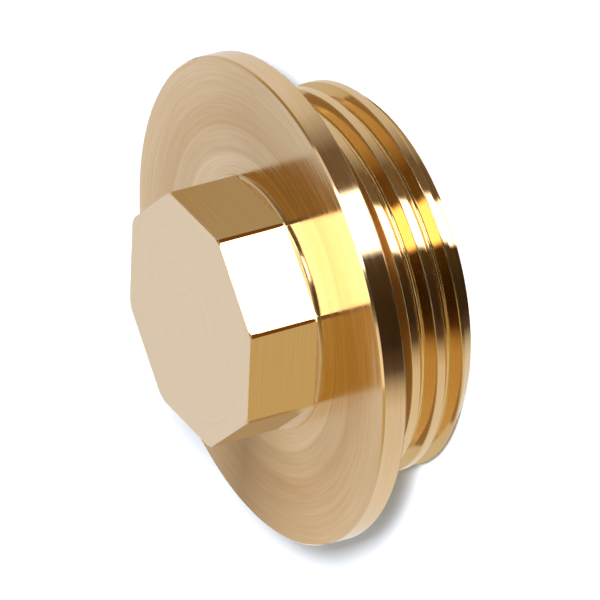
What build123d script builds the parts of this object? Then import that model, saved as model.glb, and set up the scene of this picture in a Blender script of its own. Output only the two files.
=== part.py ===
from build123d import *
from math import ceil, cos, pi, radians, tan
import os

# Pipe plug, turned in one piece from brass bar. From the top: a spanner head with eight flats,
# a round flange that takes the seal under it, a narrow relief, and a male parallel pipe thread.
# Millimetres. The axis is Z, and the plug stands on its threaded end at Z = 0.

# Spanner head
flat_count = 8
head_across_flats = 19.8
head_height = 6.4            # flange face to head face
corner_trim = 0.07           # how far the turned round cuts each corner of the octagon back
head_edge_break = 0.12       # 45 degree break round the head face, where it meets the corners
flat_ledge = 0.25            # height of the round that the flats leave above the flange

# Flange
flange_diameter = 40.8
flange_thickness = 2.2
flange_face_break = 0.3      # 45 degree break on the head side of the rim
flange_seat_break = 0.2      # 45 degree break on the seal side of the rim

# Male thread, 1 inch nominal: 11 turns to the inch, 55 degrees between the flanks, right-hand
thread_diameter = 32.4       # over the flattened crests
thread_pitch = 2.309
thread_depth = 1.05
thread_root_width = 0.46     # flat at the bottom of the groove, along the axis
thread_flank_angle = 27.5    # each flank, from the plane square to the axis
thread_turn = 17.7           # where the groove runs out in the relief, degrees from +X
groove_clearance = 0.05      # between the groove's run-out and the seal seat

# Shank below the flange
shank_length = 9.0           # seal seat to threaded end
end_chamfer = 1.3            # 45 degrees, at the threaded end
relief_width = 1.8           # between the thread and the seal seat
relief_undercut = 0.1        # how far the relief goes below the bottom of the groove

# Worked out from the sizes above
seat_height = shank_length
face_height = seat_height + flange_thickness
top_height = face_height + head_height
head_apothem = head_across_flats / 2
head_round_radius = head_apothem / cos(pi / flat_count) - corner_trim
flange_radius = flange_diameter / 2
thread_radius = thread_diameter / 2
root_radius = thread_radius - thread_depth
relief_radius = root_radius - relief_undercut
groove_overcut = thread_depth / 4
groove_spread = tan(radians(thread_flank_angle))
groove_root_half = thread_root_width / 2
groove_mouth_half = groove_root_half + (thread_depth + groove_overcut) * groove_spread

# The groove is cut by half turns, from just under the seal seat, in the relief, down past the
# threaded end, so both of its ends are open.
half_turn_rise = thread_pitch / 2
groove_top = seat_height - groove_clearance - groove_mouth_half
half_turn_count = ceil((groove_top + groove_mouth_half) / half_turn_rise)

# Half a turn of the thread's groove, as a cutter: a V with a flat bottom, carried up a helix
with BuildPart() as groove_half_turn:
    with BuildLine() as groove_path:
        Helix(thread_pitch, half_turn_rise, root_radius)
    with BuildSketch(Plane.XZ):
        with BuildLine():
            Polyline(
                (root_radius, -groove_root_half),
                (root_radius, groove_root_half),
                (thread_radius + groove_overcut, groove_mouth_half),
                (thread_radius + groove_overcut, -groove_mouth_half),
                close=True,
            )
        make_face()
    sweep(path=groove_path.line, is_frenet=True)

with BuildPart() as plug_body:
    # The turned blank: half of its section, spun about the axis
    with BuildSketch(Plane.XZ):
        with BuildLine():
            Polyline(
                (0, 0),
                (thread_radius - end_chamfer, 0),
                (thread_radius, end_chamfer),
                (thread_radius, seat_height - relief_width),
                (relief_radius, seat_height - relief_width),
                (relief_radius, seat_height),
                (flange_radius - flange_seat_break, seat_height),
                (flange_radius, seat_height + flange_seat_break),
                (flange_radius, face_height - flange_face_break),
                (flange_radius - flange_face_break, face_height),
                (head_round_radius, face_height),
                (head_round_radius, top_height - head_edge_break),
                (head_round_radius - head_edge_break, top_height),
                (0, top_height),
                close=True,
            )
        make_face()
    revolve(axis=Axis.Z)

    # The eight flats, milled down to a thin ledge above the flange
    with BuildSketch(Plane.XY.offset(face_height + flat_ledge)):
        Circle(flange_radius)
        RegularPolygon(head_apothem, flat_count, major_radius=False, mode=Mode.SUBTRACT)
    extrude(amount=head_height, mode=Mode.SUBTRACT)

    # The thread: the half turns of groove, one below the other
    for half_turn in range(1, half_turn_count + 1):
        drop = groove_top - half_turn * half_turn_rise
        with Locations(Location((0, 0, drop), (0, 0, thread_turn - 180 * half_turn))):
            add(groove_half_turn.part, mode=Mode.SUBTRACT)

plug_body.part.label = "plug_body"
os.makedirs("parts", exist_ok=True)
export_step(plug_body.part, "parts/plug_body.step")
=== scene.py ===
# %% [markdown]
# # A brass pipe plug
# The plug is one piece of brass bar, turned on a lathe and milled. It has a spanner head with
# eight flats, a wide flange and a short pipe thread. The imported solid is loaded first: it gives
# the frame and the box that the finished model has to stay in.

# %% Load the frame
import math

import bpy
from mathutils import Matrix, Vector


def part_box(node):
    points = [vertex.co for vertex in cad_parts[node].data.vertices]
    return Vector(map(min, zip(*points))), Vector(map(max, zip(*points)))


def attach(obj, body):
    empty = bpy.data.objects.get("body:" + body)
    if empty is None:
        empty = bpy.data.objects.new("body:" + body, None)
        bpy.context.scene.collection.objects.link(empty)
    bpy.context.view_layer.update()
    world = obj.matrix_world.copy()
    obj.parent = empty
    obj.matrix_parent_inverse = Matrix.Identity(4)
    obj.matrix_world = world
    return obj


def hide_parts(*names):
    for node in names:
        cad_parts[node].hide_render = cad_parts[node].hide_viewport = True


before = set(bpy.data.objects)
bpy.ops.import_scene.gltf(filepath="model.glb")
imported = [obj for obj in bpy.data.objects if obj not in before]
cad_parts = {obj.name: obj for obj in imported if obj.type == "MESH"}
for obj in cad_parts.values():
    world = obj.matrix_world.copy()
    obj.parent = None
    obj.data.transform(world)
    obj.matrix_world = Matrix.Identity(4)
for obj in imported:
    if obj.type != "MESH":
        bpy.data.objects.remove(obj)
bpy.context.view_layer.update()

PRINTED_DIGITS = 5
low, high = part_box("plug_body")
print("solid from", [round(v, PRINTED_DIGITS) for v in low], "to", [round(v, PRINTED_DIGITS) for v in high])

# %% [markdown]
# ## Sizes
# Sizes are in millimetres, as on a workshop drawing, and MM turns them into Blender's metres.
# The flange's radius and the overall height come from the solid. The others are those of the
# drawing, so that the modelled plug is the same plug. One is finer than the drawing's 0.3 mm: the
# break on the head side of the flange.

# %% Sizes
MM = 0.001
FLANGE_RADIUS = (high[0] - low[0]) / 2 / MM
TOP_HEIGHT = (high[2] - low[2]) / MM
HEAD_HEIGHT = 6.4
FLANGE_THICKNESS = 2.2
FACE_HEIGHT = TOP_HEIGHT - HEAD_HEIGHT
SEAT_HEIGHT = FACE_HEIGHT - FLANGE_THICKNESS
FLANGE_FACE_BREAK = 0.16         # on the head side of the rim
FLANGE_SEAT_BREAK = 0.2          # on the seal side of the rim
FLAT_COUNT = 8
HEAD_APOTHEM = 9.9               # from the axis to a flat
CORNER_TRIM = 0.07               # how far the turned round cuts each corner of the octagon back
HEAD_ROUND_RADIUS = HEAD_APOTHEM / math.cos(math.pi / FLAT_COUNT) - CORNER_TRIM
HEAD_EDGE_BREAK = 0.12
FLAT_LEDGE = 0.25                # height of the round that the flats leave above the flange
LEDGE_TOP = FACE_HEIGHT + FLAT_LEDGE
THREAD_RADIUS = 16.2             # over the crests
THREAD_PITCH = 2.309
THREAD_DEPTH = 1.05
ROOT_WIDTH = 0.46                # between the feet of two flanks
FLANK_ANGLE = 27.5               # each flank, from the plane square to the axis
FLANK_SPREAD = math.tan(math.radians(FLANK_ANGLE))
GROOVE_HEIGHT_AT_X = 0.9965      # height of the groove's middle where it crosses the X axis
END_CHAMFER = 1.3
RELIEF_WIDTH = 1.8
RELIEF_UNDERCUT = 0.1
ROOT_RADIUS = THREAD_RADIUS - THREAD_DEPTH
RELIEF_RADIUS = ROOT_RADIUS - RELIEF_UNDERCUT
THREAD_TOP = SEAT_HEIGHT - RELIEF_WIDTH
TOUCH = 0.0001                   # points nearer than this are one point
print("flange", FLANGE_RADIUS, "mm radius, height", TOP_HEIGHT, "mm")

# %% [markdown]
# ## Turning
# A lathe makes rings. By hand in Blender the same form comes from a flat disc that is extruded
# up its axis and scaled at each step: every step is one ring of the section. A spin of the half
# section would do too, but the disc starts closed at the bottom and ends closed at the top.

# %% Turning by extrusion
SEGMENTS = 256                   # sides of each turned circle


def select_only(thing):
    """Makes one object the active and only selected one."""
    bpy.ops.object.select_all(action="DESELECT")
    thing.select_set(True)
    bpy.context.view_layer.objects.active = thing


def turn(name, rings):
    """Turns a closed solid from its section: rings are (radius, height) in mm, from the bottom up."""
    bpy.ops.object.select_all(action="DESELECT")
    radius, height = rings[0]
    bpy.ops.mesh.primitive_circle_add(
        vertices=SEGMENTS, radius=radius * MM, fill_type="NGON", location=(0, 0, height * MM)
    )
    bpy.ops.object.transform_apply(location=True, rotation=True, scale=True)
    thing = bpy.context.active_object
    thing.name = name
    bpy.ops.object.mode_set(mode="EDIT")
    bpy.ops.mesh.select_all(action="SELECT")
    for next_radius, next_height in rings[1:]:
        rise = (next_height - height) * MM
        bpy.ops.mesh.extrude_region_move(TRANSFORM_OT_translate={"value": (0, 0, rise)})
        scale = next_radius / radius
        bpy.ops.transform.resize(value=(scale, scale, 1), center_override=(0, 0, next_height * MM))
        radius, height = next_radius, next_height
    bpy.ops.mesh.select_all(action="SELECT")
    bpy.ops.mesh.normals_make_consistent(inside=False)
    bpy.ops.object.mode_set(mode="OBJECT")
    return thing


print("a turned circle has", SEGMENTS, "sides")

# %% [markdown]
# ## Flange, ledge and relief
# Under the head the plug is all round: a narrow relief, the flange with its edges broken, and a
# thin ledge that the milling cutter left above the flange. The bar is started a little below the
# relief, inside the thread, so that the two can be joined later.

# %% Turn the flange
SINK = 0.2                       # how far a part reaches into the one it is joined to
LEDGE_PROUD = 0.01               # keeps the ledge's wall off the wall of the head
LEDGE_RADIUS = HEAD_ROUND_RADIUS + LEDGE_PROUD
LEDGE_ROUND = 0.2                # the ledge's edge is worn round
ROUND_MIDDLE = LEDGE_ROUND / 3   # how far the middle of that round lies inside its wall and top
plug = turn(
    "turned_plug",
    [
        (RELIEF_RADIUS, THREAD_TOP - SINK),
        (RELIEF_RADIUS, SEAT_HEIGHT),
        (FLANGE_RADIUS - FLANGE_SEAT_BREAK, SEAT_HEIGHT),
        (FLANGE_RADIUS, SEAT_HEIGHT + FLANGE_SEAT_BREAK),
        (FLANGE_RADIUS, FACE_HEIGHT - FLANGE_FACE_BREAK),
        (FLANGE_RADIUS - FLANGE_FACE_BREAK, FACE_HEIGHT),
        (LEDGE_RADIUS, FACE_HEIGHT),
        (LEDGE_RADIUS, LEDGE_TOP - LEDGE_ROUND),
        (LEDGE_RADIUS - ROUND_MIDDLE, LEDGE_TOP - ROUND_MIDDLE),
        (LEDGE_RADIUS - LEDGE_ROUND, LEDGE_TOP),
    ],
)
print("flange turned:", len(plug.data.polygons), "faces")

# %% [markdown]
# ## Spanner head
# The head is a turned stub with eight flats milled on it. Each flat is one straight cut of the
# bisect tool, which fills the cut and throws the outside away, as a milling cutter does. The
# corners keep a narrow strip of the turned round. A fine bevel then takes the knife edge off.

# %% Turn and mill the head
EDGE_ROUND = 0.04                # the fine break on every milled edge
EDGE_ROUND_STEPS = 2
MILLED_EDGE = math.radians(12)   # an edge sharper than this is a milled or turned corner


def level(angle):
    """The level direction away from the axis at an angle in radians."""
    return Vector((math.cos(angle), math.sin(angle), 0))


def mill_flats(stub):
    """Cuts the flats round the axis of a turned stub and breaks their edges."""
    select_only(stub)
    bpy.ops.object.mode_set(mode="EDIT")
    for flat in range(FLAT_COUNT):
        outward = level(2 * math.pi * (flat + 0.5) / FLAT_COUNT)
        bpy.ops.mesh.select_all(action="SELECT")
        bpy.ops.mesh.bisect(
            plane_co=outward * HEAD_APOTHEM * MM,
            plane_no=outward,
            use_fill=True,
            clear_outer=True,
            threshold=TOUCH * MM,
        )
    bpy.ops.mesh.select_mode(type="EDGE")
    bpy.ops.mesh.select_all(action="DESELECT")
    bpy.ops.mesh.edges_select_sharp(sharpness=MILLED_EDGE)
    bpy.ops.mesh.bevel(
        offset=EDGE_ROUND * MM, segments=EDGE_ROUND_STEPS, affect="EDGES", clamp_overlap=True
    )
    bpy.ops.object.mode_set(mode="OBJECT")


head = turn(
    "head",
    [
        (HEAD_ROUND_RADIUS, LEDGE_TOP - SINK),
        (HEAD_ROUND_RADIUS, TOP_HEIGHT - HEAD_EDGE_BREAK),
        (HEAD_ROUND_RADIUS - HEAD_EDGE_BREAK, TOP_HEIGHT),
    ],
)
mill_flats(head)
print("head milled:", len(head.data.polygons), "faces")

# %% [markdown]
# ## Outline of the thread
# A pipe thread is one groove on a helix. Here the outline of one pitch, from the middle of one
# crest to the middle of the next, is drawn as a chain of edges: one vertex is extruded from point
# to point. Cutting a helical tool out of the bar would do too, but the outline lets the crests
# and the root have the rounds of a real thread.

# %% Draw one pitch of the thread
CREST_ROUND = 0.13
ROOT_ROUND = 0.36                # the root is one round, with hardly a flat left
ROUND_STEPS = 5


def rounded(corner, before, after, radius):
    """Points of a small arc in place of a corner of the outline, in (radius, height)."""
    corner, before, after = Vector(corner), Vector(before), Vector(after)
    to_before = (before - corner).normalized()
    to_after = (after - corner).normalized()
    half = to_before.angle(to_after) / 2
    centre = corner + (to_before + to_after).normalized() * radius / math.sin(half)
    start = corner + to_before * radius / math.tan(half) - centre
    end = corner + to_after * radius / math.tan(half) - centre
    points = []
    for step in range(ROUND_STEPS + 1):
        points.append(tuple(centre + start.lerp(end, step / ROUND_STEPS).normalized() * radius))
    return points


def thread_outline(middle):
    """One pitch of the thread about a groove whose middle is at this height."""
    mouth = ROOT_WIDTH / 2 + THREAD_DEPTH * FLANK_SPREAD
    below = (THREAD_RADIUS, middle - THREAD_PITCH / 2)
    lower_crest = (THREAD_RADIUS, middle - mouth)
    lower_root = (ROOT_RADIUS, middle - ROOT_WIDTH / 2)
    upper_root = (ROOT_RADIUS, middle + ROOT_WIDTH / 2)
    upper_crest = (THREAD_RADIUS, middle + mouth)
    above = (THREAD_RADIUS, middle + THREAD_PITCH / 2)
    return (
        [below]
        + rounded(lower_crest, below, lower_root, CREST_ROUND)
        + rounded(lower_root, lower_crest, upper_root, ROOT_ROUND)
        + rounded(upper_root, lower_root, upper_crest, ROOT_ROUND)
        + rounded(upper_crest, upper_root, above, CREST_ROUND)
        + [above]
    )


def lone_vertex(name):
    """Adds an object of one vertex at the origin and leaves it in edit mode, selected."""
    bpy.ops.object.select_all(action="DESELECT")
    bpy.ops.mesh.primitive_plane_add(size=MM)
    thing = bpy.context.active_object
    thing.name = name
    bpy.ops.object.mode_set(mode="EDIT")
    bpy.ops.mesh.select_mode(type="VERT")
    bpy.ops.mesh.select_all(action="SELECT")
    bpy.ops.mesh.merge(type="CENTER")
    return thing


def draw_line(name, points):
    """Draws a chain of edges by extruding one vertex: points are (radius, height) in mm."""
    thing = lone_vertex(name)
    here = Vector((0, 0, 0))
    for number, (radius, height) in enumerate(points):
        there = Vector((radius * MM, 0, height * MM))
        if number == 0:
            bpy.ops.transform.translate(value=there - here)
        else:
            bpy.ops.mesh.extrude_vertices_move(TRANSFORM_OT_translate={"value": there - here})
        here = there
    bpy.ops.object.mode_set(mode="OBJECT")
    return thing


TURNS_BELOW = 2                  # turns that start under the plug and are cut off
thread = draw_line("thread", thread_outline(GROOVE_HEIGHT_AT_X - TURNS_BELOW * THREAD_PITCH))
print("outline of one pitch:", len(thread.data.edges), "edges")

# %% [markdown]
# ## Screwing it up
# The Screw modifier carries the outline round the axis and up by one pitch a turn. There are more
# turns than the plug needs, so that all that is kept is whole. Where two turns meet, their edges
# lie on each other, and a merge by distance makes them one surface.

# %% Screw the outline up
TURNS = 7


def weld(thing):
    """Makes touching points one and turns the normals outward."""
    select_only(thing)
    bpy.ops.object.mode_set(mode="EDIT")
    bpy.ops.mesh.select_mode(type="VERT")
    bpy.ops.mesh.select_all(action="SELECT")
    bpy.ops.mesh.remove_doubles(threshold=TOUCH * MM)
    bpy.ops.mesh.normals_make_consistent(inside=False)
    bpy.ops.object.mode_set(mode="OBJECT")


select_only(thread)
screw = thread.modifiers.new("screw", "SCREW")
screw.axis = "Z"
screw.angle = 2 * math.pi
screw.screw_offset = THREAD_PITCH * MM
screw.iterations = TURNS
screw.steps = SEGMENTS
screw.render_steps = SEGMENTS
bpy.ops.object.modifier_apply(modifier="screw")
weld(thread)
print("thread screwed up:", len(thread.data.polygons), "faces")

# %% [markdown]
# ## Trimming the thread
# The screwed surface is open at both ends and too long. Two cuts square to the axis close it at
# the relief and at the end face. A turned cone then takes the first turn down to the root, as the
# chamfer that starts the thread in its fitting.

# %% Trim the thread and chamfer its end
CONE_MARGIN = 0.3                # how far the cone reaches past what it cuts


def cut_across(thing, height, keep_above):
    """Cuts a shape square to the axis at a height and closes the cut."""
    select_only(thing)
    bpy.ops.object.mode_set(mode="EDIT")
    bpy.ops.mesh.select_all(action="SELECT")
    bpy.ops.mesh.bisect(
        plane_co=(0, 0, height * MM),
        plane_no=(0, 0, 1),
        use_fill=True,
        clear_inner=keep_above,
        clear_outer=not keep_above,
        threshold=TOUCH * MM,
    )
    bpy.ops.mesh.select_all(action="SELECT")
    bpy.ops.mesh.normals_make_consistent(inside=False)
    bpy.ops.object.mode_set(mode="OBJECT")


def combine(thing, other, operation):
    """Joins or intersects one solid with another, and drops the other."""
    select_only(thing)
    step = thing.modifiers.new(operation.lower(), "BOOLEAN")
    step.operation = operation
    step.solver = "EXACT"
    step.object = other
    bpy.ops.object.modifier_apply(modifier=step.name)
    bpy.data.objects.remove(other)


cut_across(thread, 0, keep_above=True)
cut_across(thread, THREAD_TOP, keep_above=False)
cone = turn(
    "end_cone",
    [
        (THREAD_RADIUS - END_CHAMFER - CONE_MARGIN, -CONE_MARGIN),
        (THREAD_RADIUS + CONE_MARGIN, END_CHAMFER + CONE_MARGIN),
        (THREAD_RADIUS + CONE_MARGIN, THREAD_TOP + CONE_MARGIN),
    ],
)
combine(thread, cone, "INTERSECT")
print("thread trimmed:", len(thread.data.polygons), "faces")

# %% [markdown]
# ## One piece
# Head, flange and thread are joined into one closed solid, because the real plug is one piece.
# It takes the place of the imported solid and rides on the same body.

# %% Join the plug
SMOOTH_UNDER = math.radians(24)  # edges flatter than this are shaded as one surface
combine(plug, head, "UNION")
combine(plug, thread, "UNION")
weld(plug)
bpy.ops.object.shade_smooth_by_angle(angle=SMOOTH_UNDER)
plain_normals = plug.modifiers.new("flat_faces_stay_flat", "WEIGHTED_NORMAL")
plain_normals.keep_sharp = True
bpy.ops.object.modifier_apply(modifier=plain_normals.name)
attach(plug, "root")
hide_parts("plug_body")
print("plug joined:", len(plug.data.polygons), "faces")

# %% [markdown]
# ## Zones
# One bar of brass, but seven finishes: the end face of the head and the ledge were faced and are
# matt, the flats are milled and bright, the flange, its rim and the thread's crests are turned, the
# seat of the seal and the threaded end are dull and carry painted shade, and the groove is cut and
# is darkened a little by painted shade. Each face of the mesh gets the finish of the tool that made
# it, told from its place and its slope.

# %% Give each face its zone
ZONES = [
    "faced_end",
    "milled_flats",
    "turned_flange",
    "turned_rim",
    "dull_faces_in_painted_shade",
    "turned_crests",
    "cut_thread",
]
LOOKS_UP = 0.9                   # a normal with more rise than this is that of a level face
ZONE_MARGIN = 0.02               # a face whose middle is this near a level lies on it


def zone_of(face):
    """Index of the finish of one face of the plug."""
    height = face.center.z / MM
    # faces that look down are dull, and their dark tones are painted shade
    if face.normal.z < -LOOKS_UP:
        return ZONES.index("dull_faces_in_painted_shade")
    if height < SEAT_HEIGHT - ZONE_MARGIN:
        on_crest = math.hypot(face.center.x, face.center.y) > (THREAD_RADIUS - CREST_ROUND) * MM
        return ZONES.index("turned_crests" if on_crest else "cut_thread")
    if height < SEAT_HEIGHT + FLANGE_SEAT_BREAK:
        return ZONES.index("dull_faces_in_painted_shade")
    if height < FACE_HEIGHT - ZONE_MARGIN:
        return ZONES.index("turned_rim")
    if height < LEDGE_TOP - ZONE_MARGIN:
        return ZONES.index("turned_flange")
    if face.normal.z > LOOKS_UP:
        return ZONES.index("faced_end")
    return ZONES.index("milled_flats")


plug.data.materials.clear()
for zone in ZONES:
    plug.data.materials.append(bpy.data.materials.new(zone))
counts = [0] * len(ZONES)
for face in plug.data.polygons:
    face.material_index = zone_of(face)
    counts[face.material_index] += 1
print("faces of each zone:", dict(zip(ZONES, counts)))

# %% [markdown]
# ## Tool marks
# Every tool leaves its marks along its path: rings on what was turned, lines of one height on the
# flats and the thread. A picture could carry them, but a noise has no seams and stays sharp close
# up. It is read from the place of each point, and stretched along the cut.

# %% Noise in long marks
MARK_DETAIL = 3.0
NOISE_LOW, NOISE_HIGH = 0.3, 0.7     # most of the noise lies between these


def link(tree, output, node, name):
    """Links an output to an input of a node, by its name or number."""
    tree.links.new(output, node.inputs[name])


def scaled(tree, vector, factors):
    """A vector multiplied by fixed factors."""
    product = tree.nodes.new("ShaderNodeVectorMath")
    product.operation = "MULTIPLY"
    product.inputs[1].default_value = factors
    link(tree, vector, product, 0)
    return product.outputs["Vector"]


def distance_from_axis(tree, coordinates, unit):
    """Distance of a point from the Z axis, counted in a unit of length."""
    measure = tree.nodes.new("ShaderNodeVectorMath")
    measure.operation = "LENGTH"
    link(tree, scaled(tree, coordinates, (1 / unit, 1 / unit, 0)), measure, 0)
    return measure.outputs["Value"]


def tool_marks(tree, across, density, reach):
    """Noise in long marks: density is changes per mm across them, reach changes per mm along."""
    place = tree.nodes.new("ShaderNodeTexCoord").outputs["Object"]
    split = tree.nodes.new("ShaderNodeSeparateXYZ")
    link(tree, scaled(tree, place, (1 / MM, 1 / MM, 1 / MM)), split, "Vector")
    distance = split.outputs["Z"] if across == "height" else distance_from_axis(tree, place, MM)
    joined = tree.nodes.new("ShaderNodeCombineXYZ")
    link(tree, distance, joined, "X")
    link(tree, split.outputs["X"], joined, "Y")
    link(tree, split.outputs["Y"], joined, "Z")
    noise = tree.nodes.new("ShaderNodeTexNoise")
    noise.inputs["Scale"].default_value = 1.0
    noise.inputs["Detail"].default_value = MARK_DETAIL
    link(tree, scaled(tree, joined.outputs["Vector"], (density, reach, reach)), noise, "Vector")
    return noise.outputs["Fac"]


def spread(tree, value, lowest, highest):
    """Carries the middle of a noise to the range from lowest to highest."""
    carried = tree.nodes.new("ShaderNodeMapRange")
    carried.inputs["From Min"].default_value = NOISE_LOW
    carried.inputs["From Max"].default_value = NOISE_HIGH
    carried.inputs["To Min"].default_value = lowest
    carried.inputs["To Max"].default_value = highest
    link(tree, value, carried, "Value")
    return carried.outputs["Result"]


print("marks use the noise from", NOISE_LOW, "to", NOISE_HIGH)

# %% [markdown]
# ## Brass
# Brass reflects red and yellow better than blue, so its colour deepens each time the light
# bounces. A finish mixes two tones of it by the marks. The marks also change the roughness and, by
# a very small bump, the surface itself. Anisotropy spreads the reflections across the marks.

# %% A brass finish from its tool marks
BUMP_DISTANCE = 0.02             # mm
ACROSS_THE_MARKS = 0.25          # a quarter turn: reflections spread across the tool marks


def brass_finish(name, tones, roughness, bump, anisotropy, marks):
    """Makes the finish of one zone: its light and its dark tone and its roughness follow its marks."""
    tint, shade = tones
    material = bpy.data.materials[name]
    material.use_nodes = True
    tree = material.node_tree
    shader = tree.nodes["Principled BSDF"]
    shader.inputs["Metallic"].default_value = 1.0
    shader.inputs["Anisotropic"].default_value = anisotropy
    shader.inputs["Anisotropic Rotation"].default_value = ACROSS_THE_MARKS
    value = tool_marks(tree, *marks)
    mixed = tree.nodes.new("ShaderNodeMix")
    mixed.data_type = "RGBA"
    mixed.inputs["A"].default_value = (*shade, 1.0)
    mixed.inputs["B"].default_value = (*tint, 1.0)
    link(tree, spread(tree, value, 0.0, 1.0), mixed, "Factor")
    link(tree, mixed.outputs["Result"], shader, "Base Color")
    link(tree, spread(tree, value, *roughness), shader, "Roughness")
    relief = tree.nodes.new("ShaderNodeBump")
    relief.inputs["Strength"].default_value = bump
    relief.inputs["Distance"].default_value = BUMP_DISTANCE * MM
    link(tree, value, relief, "Height")
    link(tree, relief.outputs["Normal"], shader, "Normal")
    direction = tree.nodes.new("ShaderNodeTangent")
    direction.direction_type = "RADIAL"
    direction.axis = "Z"
    link(tree, direction.outputs["Tangent"], shader, "Tangent")
    return material


print("bump of the marks:", BUMP_DISTANCE, "mm")

# %% [markdown]
# ## Seven finishes
# The faced end is pale and matt, the flats are nearly mirrors, and what was turned lies between
# them. The groove's deeper colour is painted shade in the recess. The seat of the seal and the
# threaded end are dull, and their dark colour is painted shade on faces that look down.

# %% The finish of each zone
BRASS = (0.86, 0.64, 0.37)
DEEP_BRASS = (0.82, 0.58, 0.31)
WARM_BRASS = (0.86, 0.63, 0.40)
FLANGE_BRASS = (0.95, 0.72, 0.49)
DULL_FLANGE_BRASS = (0.85, 0.62, 0.37)
CREST_BRASS = (0.84, 0.59, 0.32)
# the groove's deeper tones are painted shade in the recess
GROOVE_TINT_PAINTED_SHADE = (0.80, 0.54, 0.24)
DEEP_GROOVE_TINT_PAINTED_SHADE = (0.77, 0.51, 0.21)
# the dark tones of the faces that look down are painted shade
PAINTED_SHADE_BRASS = (0.48, 0.32, 0.16)
BRASS_IN_DEEPER_PAINTED_SHADE = (0.42, 0.28, 0.13)
PALE_BRASS = (0.98, 0.81, 0.61)
FACED_BRASS = (0.94, 0.77, 0.57)
brass_finish(
    "faced_end", tones=(PALE_BRASS, FACED_BRASS),
    roughness=(0.42, 0.48), bump=0.03, anisotropy=0.0, marks=("radius", 3.0, 0.2),
)
brass_finish(
    "milled_flats", tones=(BRASS, DEEP_BRASS),
    roughness=(0.06, 0.09), bump=0.02, anisotropy=0.0, marks=("height", 6.0, 0.1),
)
brass_finish(
    "turned_rim", tones=(WARM_BRASS, DEEP_BRASS),
    roughness=(0.08, 0.14), bump=0.08, anisotropy=0.3, marks=("height", 4.0, 0.1),
)
# dull faces: a real dull finish, with painted shade in its dark tones
brass_finish(
    "dull_faces_in_painted_shade", tones=(PAINTED_SHADE_BRASS, BRASS_IN_DEEPER_PAINTED_SHADE),
    roughness=(0.40, 0.50), bump=0.06, anisotropy=0.0, marks=("radius", 4.0, 0.15),
)
brass_finish(
    "turned_crests", tones=(CREST_BRASS, DEEP_BRASS),
    roughness=(0.08, 0.14), bump=0.1, anisotropy=0.3, marks=("height", 8.0, 0.3),
)
# groove: its deeper tones are painted shade in the recess
brass_finish(
    "cut_thread", tones=(GROOVE_TINT_PAINTED_SHADE, DEEP_GROOVE_TINT_PAINTED_SHADE),
    roughness=(0.08, 0.14), bump=0.1, anisotropy=0.3, marks=("height", 8.0, 0.3),
)
flange_finish = brass_finish(
    "turned_flange", tones=(FLANGE_BRASS, DULL_FLANGE_BRASS),
    roughness=(0.12, 0.24), bump=0.06, anisotropy=0.5, marks=("radius", 4.0, 0.15),
)
print("finishes:", [material.name for material in plug.data.materials])

# %% [markdown]
# ## Colours round and outward
# The flange changes colour from place to place, and later the room and its cards do. A colour ramp
# does it, fed with the direction round the axis or with the distance from it. Painting by hand
# would do too, but a ramp keeps each tone as a number that can be changed.

# %% Colour ramps by direction and by distance
def grey(value):
    """A neutral colour."""
    return (value, value, value)


def ramp_of(tree, value, stops):
    """Carries a value from 0 to 1 to colours: stops are (position, colour), in rising order."""
    ramp = tree.nodes.new("ShaderNodeValToRGB")
    elements = ramp.color_ramp.elements
    while len(elements) < len(stops):
        elements.new(1.0)
    for element, (position, colour) in zip(elements, stops):
        element.position = position
        element.color = (*colour, 1.0)
    link(tree, value, ramp, "Fac")
    return ramp.outputs["Color"]


def colours_round(tree, coordinates, stops):
    """Colours round the Z axis: stops are (azimuth in degrees, colour), in rising order."""
    gradient = tree.nodes.new("ShaderNodeTexGradient")
    gradient.gradient_type = "RADIAL"
    link(tree, coordinates, gradient, "Vector")
    turns = [((azimuth + 180) / 360, colour) for azimuth, colour in stops]
    return ramp_of(tree, gradient.outputs["Color"], turns)


def colours_outward(tree, coordinates, reach, stops):
    """Colours by the distance from the Z axis: stops are (distance in mm, colour), up to the reach."""
    shares = [(radius / reach, colour) for radius, colour in stops]
    return ramp_of(tree, distance_from_axis(tree, coordinates, reach * MM), shares)


CLEAN = grey(1.0)
print("clean metal is multiplied by", CLEAN)

# %% [markdown]
# ## Tones of the flange
# The face of the flange was turned in three passes, and each left its own tone: a pale band round
# the head, a duller one, and a third that brightens to the edge. At the very foot of the head the
# band is a little darker, which is painted shade. Round the axis the tint also carries painted shade:
# much darker on one side, near 108 degrees, and warm yellow towards 180 degrees. Both are painted
# over the tint, by distance and by direction.

# %% Bands and painted shade of the flange
BANDS_AND_PAINTED_SHADE_STOPS = [
    # a little darker at the foot of the head: painted shade where the head meets the flange
    (11.2, grey(0.94)),
    (12.4, CLEAN),
    (12.5, (0.86, 0.84, 0.79)),
    (14.7, (0.91, 0.87, 0.83)),
    (14.8, (0.84, 0.76, 0.65)),
    (16.5, (0.89, 0.84, 0.78)),
    (18.3, (0.96, 0.93, 0.89)),
    (20.0, CLEAN),
]
# painted shade round the axis: darkest near 108 degrees, warm yellow towards 180 degrees
DARKEST_PAINTED_SHADE = (0.52, 0.42, 0.27)
WARM_PAINTED_SHADE = (0.93, 0.86, 0.73)
PAINTED_SHADE_STOPS = [
    (-180, WARM_PAINTED_SHADE),
    (-158, (0.90, 0.83, 0.68)),
    (-135, (0.92, 0.89, 0.82)),
    (-90, (0.86, 0.87, 0.83)),
    (-60, (0.87, 0.86, 0.83)),
    (-40, (0.95, 0.95, 0.93)),
    (-20, CLEAN),
    (40, (0.97, 0.96, 0.95)),
    (85, (0.80, 0.73, 0.60)),
    (100, (0.60, 0.52, 0.38)),
    (108, DARKEST_PAINTED_SHADE),
    (120, (0.71, 0.61, 0.45)),
    (135, (0.87, 0.78, 0.61)),
    (150, (0.97, 0.89, 0.75)),
    (180, WARM_PAINTED_SHADE),
]


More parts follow.
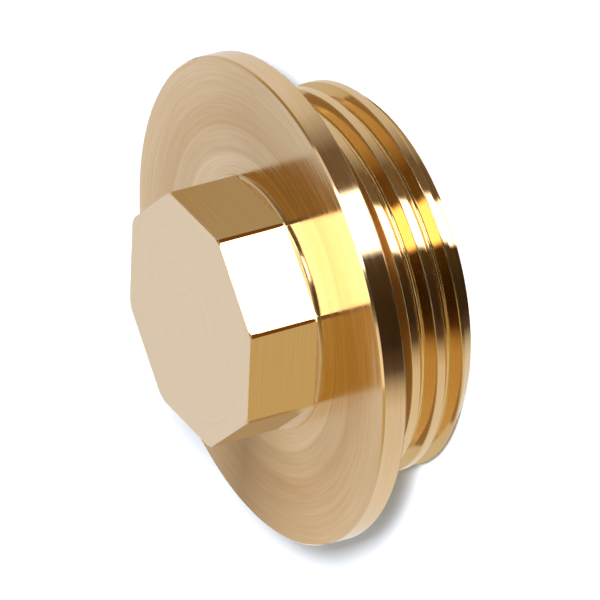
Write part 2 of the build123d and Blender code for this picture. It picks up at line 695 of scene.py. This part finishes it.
def multiplied(tree, first, second):
    """One colour multiplied by another."""
    product = tree.nodes.new("ShaderNodeMix")
    product.data_type = "RGBA"
    product.blend_type = "MULTIPLY"
    product.inputs["Factor"].default_value = 1.0
    link(tree, first, product, "A")
    link(tree, second, product, "B")
    return product.outputs["Result"]


def paint_over(material, bands_and_shade, sides):
    """Multiplies the tint of a finish by its bands, with painted shade at the foot of the head, and by the
    painted shade round the axis in sides.
    """
    tree = material.node_tree
    shader = tree.nodes["Principled BSDF"]
    tint = shader.inputs["Base Color"].links[0].from_socket
    place = tree.nodes.new("ShaderNodeTexCoord").outputs["Object"]
    banded = multiplied(tree, tint, colours_outward(tree, place, FLANGE_RADIUS, bands_and_shade))
    # sides is the painted shade round the axis
    painted = multiplied(tree, banded, colours_round(tree, place, sides))
    link(tree, painted, shader, "Base Color")


paint_over(flange_finish, BANDS_AND_PAINTED_SHADE_STOPS, PAINTED_SHADE_STOPS)
print("flange painted with", len(BANDS_AND_PAINTED_SHADE_STOPS), "tones outward and", len(PAINTED_SHADE_STOPS), "round")

# %% [markdown]
# ## Studio
# Polished metal has no look of its own: it shows the room. The room here is a tent of cloth: light
# behind the plug, warm at both sides and dark round the camera. It is made as the world's
# background, coloured by direction, because a tent of mesh would have folds and corners to hide.

# %% Tent
WARM_CLOTH = (0.58, 0.47, 0.19)
TENT_STOPS = [
    (-180, WARM_CLOTH),
    (-155, (0.30, 0.24, 0.14)),
    (-140, grey(0.05)),
    (-70, grey(0.10)),
    (-45, (0.25, 0.19, 0.11)),
    (-14, (0.38, 0.28, 0.11)),
    (-6, (0.42, 0.32, 0.16)),
    (2, (0.60, 0.52, 0.40)),
    (25, grey(0.72)),
    (100, grey(0.74)),
    (125, grey(0.70)),
    (150, WARM_CLOTH),
    (180, WARM_CLOTH),
]
world = bpy.data.worlds.new("tent")
bpy.context.scene.world = world
world.use_nodes = True
tent_tree = world.node_tree
direction = tent_tree.nodes.new("ShaderNodeTexCoord")
tent = tent_tree.nodes["Background"]
tent.inputs["Strength"].default_value = 1.0
link(tent_tree, colours_round(tent_tree, direction.outputs["Generated"], TENT_STOPS), tent, "Color")
print("tent of", len(TENT_STOPS), "tones")

# %% [markdown]
# ## Floor
# The plug stands on a sheet of pale, matt paper. It is a little blue, because the tent's light is
# warm. The lamps below bring it to white, and it keeps the plug's shadow.

# %% Lay the paper
FLOOR_SIZE = 6.0                 # metres
PAPER = (0.68, 0.725, 0.815)
bpy.ops.object.select_all(action="DESELECT")
bpy.ops.mesh.primitive_plane_add(size=FLOOR_SIZE)
floor = bpy.context.active_object
floor.name = "floor"
paper = bpy.data.materials.new("white_paper")
paper.use_nodes = True
paper_shader = paper.node_tree.nodes["Principled BSDF"]
paper_shader.inputs["Base Color"].default_value = (*PAPER, 1.0)
paper_shader.inputs["Roughness"].default_value = 1.0
paper_shader.inputs["Specular IOR Level"].default_value = 0.0
floor.data.materials.append(paper)
print("floor of", FLOOR_SIZE, "m")

# %% [markdown]
# ## Cards
# A photographer lays cards round a shiny thing, and the metal shows the cards. The cards here glow
# by themselves, and only reflections see them, so they light nothing else and throw no shadow.
# From below a card is clear, so that what lies under it doesn't show it.

# %% A card that only the metal sees
CARD_STEPS = 64
CARD_GAP = 0.02                  # mm between a card and what it lies on
CARD_STRENGTH = 3.6
WHITE = grey(1.0)


def hide_from_camera(thing):
    """Leaves a card only to the reflections."""
    thing.visible_camera = False
    thing.visible_diffuse = False
    thing.visible_shadow = False


def card_finish(name, stops):
    """A card that glows on its upper side and is clear from below."""
    material = bpy.data.materials.new(name)
    material.use_nodes = True
    tree = material.node_tree
    tree.nodes.remove(tree.nodes["Principled BSDF"])
    place = tree.nodes.new("ShaderNodeTexCoord")
    glow = tree.nodes.new("ShaderNodeEmission")
    glow.inputs["Strength"].default_value = CARD_STRENGTH
    link(tree, colours_round(tree, place.outputs["Object"], stops), glow, "Color")
    clear = tree.nodes.new("ShaderNodeBsdfTransparent")
    side = tree.nodes.new("ShaderNodeNewGeometry")
    sides = tree.nodes.new("ShaderNodeMixShader")
    link(tree, side.outputs["Backfacing"], sides, 0)
    link(tree, glow.outputs["Emission"], sides, 1)
    link(tree, clear.outputs["BSDF"], sides, 2)
    link(tree, sides.outputs["Shader"], tree.nodes["Material Output"], "Surface")
    return material


def lay_card(name, radii, height, sector, material):
    """Lays a flat card round the plug, from an inner to an outer radius and between two azimuths."""
    inner, outer = radii
    first, last = (math.radians(azimuth) for azimuth in sector)
    card = lone_vertex(name)
    bpy.ops.transform.translate(value=level(first) * inner * MM + Vector((0, 0, height * MM)))
    reach = level(first) * (outer - inner) * MM
    bpy.ops.mesh.extrude_vertices_move(TRANSFORM_OT_translate={"value": reach})
    bpy.ops.mesh.select_all(action="SELECT")
    bpy.ops.mesh.spin(steps=CARD_STEPS, angle=first - last, center=(0, 0, 0), axis=(0, 0, 1))
    bpy.ops.mesh.select_all(action="SELECT")
    bpy.ops.mesh.remove_doubles(threshold=TOUCH * MM)
    bpy.ops.object.mode_set(mode="OBJECT")
    if sum(face.normal.z for face in card.data.polygons) < 0:
        card.data.flip_normals()
    card.data.materials.append(material)
    hide_from_camera(card)
    print(name, "looks", "up" if card.data.polygons[0].normal.z > 0 else "down")
    return card


ALL_ROUND = (-180, 180)
print("cards glow at", CARD_STRENGTH)

# %% [markdown]
# ## Floor card
# The rim and the thread stand upright, and the camera looks down on them, so they show the floor.
# The card on it gives them a white stripe in front, dark brown beside it and tan further round.
# Its middle lies off the axis, where the ends of the stripe fall as in the photograph.

# %% Lay the floor card
SHADE = (0.0115, 0.0074, 0.0034)
DEEP_SHADE = (0.022, 0.014, 0.006)
UMBER = (0.05, 0.036, 0.022)
TAN = (0.217, 0.207, 0.190)
FLOOR_STOPS = [
    (-180, TAN),
    (-172, (0.165, 0.148, 0.110)),
    (-163, (0.030, 0.020, 0.014)),
    (-152, SHADE),
    (-135, SHADE),
    (-113, DEEP_SHADE),
    (-110, WHITE),
    (-87, WHITE),
    (-84, UMBER),
    (-66, UMBER),
    (-46, (0.190, 0.180, 0.158)),
    (-30, grey(0.215)),
    (140, grey(0.235)),
    (180, TAN),
]
FLOOR_CARD_RADII = (4.05, 81.0)
FLOOR_CARD_CENTRE = Vector((-4.7, -6.2, 0))
floor_card = lay_card(
    "floor_card", FLOOR_CARD_RADII, CARD_GAP, ALL_ROUND, card_finish("floor_card", FLOOR_STOPS)
)
floor_card.location = FLOOR_CARD_CENTRE * MM

# %% [markdown]
# ## Collar and flags
# The flats show what lies round the foot of the head. There the collar floats, a card just above
# the ledge: white before the flat that faces the camera, tan and brown before the others. Two dark
# flags, at the corners of that flat, draw the thin dark lines beside it.

# %% Lay the collar and the flags
BESIDE_LEFT = (0.174, 0.143, 0.082)
BESIDE_RIGHT = (0.126, 0.104, 0.070)
BEHIND = (0.122, 0.086, 0.044)
COLLAR_STOPS = [
    (-180, BESIDE_LEFT),
    (-135.5, BESIDE_LEFT),
    (-135, WHITE),
    (-90, WHITE),
    (-89.5, BESIDE_RIGHT),
    (-45, BESIDE_RIGHT),
    (0, BEHIND),
    (160, BEHIND),
    (170, BESIDE_LEFT),
    (180, BESIDE_LEFT),
]
COLLAR_HEIGHT = LEDGE_TOP + CARD_GAP
COLLAR_INSIDE = 4.95             # inside the head, where it isn't seen
COLLAR_REACH = FLANGE_RADIUS + HEAD_HEIGHT
lay_card(
    "collar_card",
    (COLLAR_INSIDE, COLLAR_REACH),
    COLLAR_HEIGHT,
    ALL_ROUND,
    card_finish("collar_card", COLLAR_STOPS),
)
FLAG_BROWN = (0.05, 0.02, 0.004)
FLAG_RADII = (CARD_GAP, COLLAR_REACH)
FLAG_SECTORS = {-90: (-76, -40), -135: (-165, -133)}     # by the azimuth of the head's corner
flag_finish = card_finish("flag_card", [(-180, FLAG_BROWN), (180, FLAG_BROWN)])
for corner, sector in FLAG_SECTORS.items():
    flag = lay_card("flag", FLAG_RADII, COLLAR_HEIGHT + CARD_GAP, sector, flag_finish)
    flag.location = level(math.radians(corner)) * HEAD_ROUND_RADIUS * MM

# %% [markdown]
# ## Lamps
# Two small lamps light the floor and give the shadow. They are hidden from reflections, so the
# metal gets nothing from them. Four panels are the other way round, and only reflections see them:
# the front one glints on rounded edges, the others draw pale lines along the edge of the flange.

# %% Hang the lamps
def hang_lamp(name, azimuth, elevation, distance, width, radiance):
    """Hangs a square lamp that faces the plug: radiance is how bright it looks."""
    data = bpy.data.lights.new(name, "AREA")
    data.shape = "SQUARE"
    data.size = width
    data.energy = radiance * math.pi * width ** 2
    lamp = bpy.data.objects.new(name, data)
    bpy.context.scene.collection.objects.link(lamp)
    across, up = math.radians(azimuth), math.radians(elevation)
    outward = Vector((math.cos(up) * math.cos(across), math.cos(up) * math.sin(across), math.sin(up)))
    lamp.location = outward * distance
    lamp.rotation_euler = outward.to_track_quat("Z", "Y").to_euler()
    lamp.visible_camera = False
    return lamp


floor_lamps = [
    hang_lamp("low_floor_lamp", azimuth=-117, elevation=28.2, distance=0.6, width=0.06, radiance=950),
    hang_lamp("high_floor_lamp", azimuth=-121, elevation=57, distance=0.6, width=0.12, radiance=8),
]
for lamp in floor_lamps:
    lamp.visible_glossy = False
panels = [
    hang_lamp("front_panel", azimuth=-104, elevation=25, distance=0.45, width=0.15, radiance=3.3),
    hang_lamp("top_panel", azimuth=-90, elevation=60, distance=0.6, width=0.25, radiance=6),
    hang_lamp("left_panel", azimuth=-174, elevation=60, distance=0.6, width=0.2, radiance=0.55),
    hang_lamp("right_panel", azimuth=-56, elevation=55, distance=0.6, width=0.17, radiance=0.6),
]
for panel in panels:
    panel.visible_diffuse = False
print("lamps:", [lamp.name for lamp in floor_lamps + panels])

# %% [markdown]
# ## Camera
# In the photograph the plug's axis is nearly level, and here the plug stands on its thread, so the
# camera is rolled over. Its place, its turn and its long lens were fitted to the outlines of head
# and flange, and are written as they came out of the fit: as the camera's right, up and back.

# %% Set the camera
VIEW_RIGHT = Vector((-0.4363, -0.2205, -0.8724))
VIEW_UP = Vector((0.7711, -0.5913, -0.2362))
VIEW_BACK = Vector((-0.4638, -0.7758, 0.4280))
CAMERA_PLACE = Vector((-370.9, -619.0, 349.3))
LENS = 591.2
SENSOR_WIDTH = 36.0
FARTHEST_SEEN = 10.0             # metres
camera_data = bpy.data.cameras.new("camera")
camera = bpy.data.objects.new("camera", camera_data)
bpy.context.scene.collection.objects.link(camera)
camera_data.lens = LENS
camera_data.sensor_width = SENSOR_WIDTH
camera_data.clip_end = FARTHEST_SEEN
turned = Matrix((VIEW_RIGHT, VIEW_UP, VIEW_BACK)).transposed().to_4x4()
camera.matrix_world = Matrix.Translation(CAMERA_PLACE * MM) @ turned
bpy.context.scene.camera = camera
bpy.context.scene.view_settings.view_transform = "Standard"
print("camera", round(CAMERA_PLACE.length), "mm away, lens", LENS, "mm")
